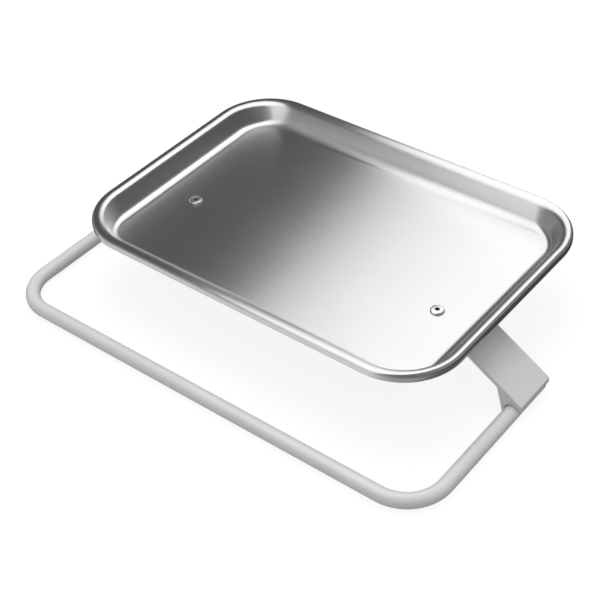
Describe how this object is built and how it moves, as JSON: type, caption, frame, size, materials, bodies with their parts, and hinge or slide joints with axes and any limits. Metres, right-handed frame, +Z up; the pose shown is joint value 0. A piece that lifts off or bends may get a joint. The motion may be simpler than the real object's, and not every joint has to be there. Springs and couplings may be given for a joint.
{
  "type": "instrument tray on tube frame",
  "caption": "Shallow rectangular stainless tray with rounded corners and a rolled rim, riveted to a pressed cross carrier that stands on a U-shaped bent tube frame.",
  "frame": {"origin": "centre of the footprint, on the surface that the tube frame stands on", "axes": "+X along the tray's long side, -Y towards the frame's cross bar (the front), +Z up"},
  "size_m": [0.4166, 0.2932, 0.0686],
  "materials": {
    "stainless": "brushed along the long side",
    "painted_steel": "satin light grey powder coat",
    "rivet_steel": "bright",
    "pin_steel": "dull",
    "plug_plastic": "matt moulded",
    "painted_weld": "powder coat over weld bead"
  },
  "bodies": {
    "root": {"tray_pan": "stainless", "carrier_strip": "painted_steel", "frame_tube": "painted_steel", "rivet_left": "rivet_steel", "rivet_right": "rivet_steel", "rivet_pin_left": "pin_steel", "rivet_pin_right": "pin_steel", "tube_plug_left": "plug_plastic", "tube_plug_right": "plug_plastic", "weld_front_left": "painted_weld", "weld_front_right": "painted_weld", "weld_rear_left": "painted_weld", "weld_rear_right": "painted_weld"}
  },
  "joints": []
}
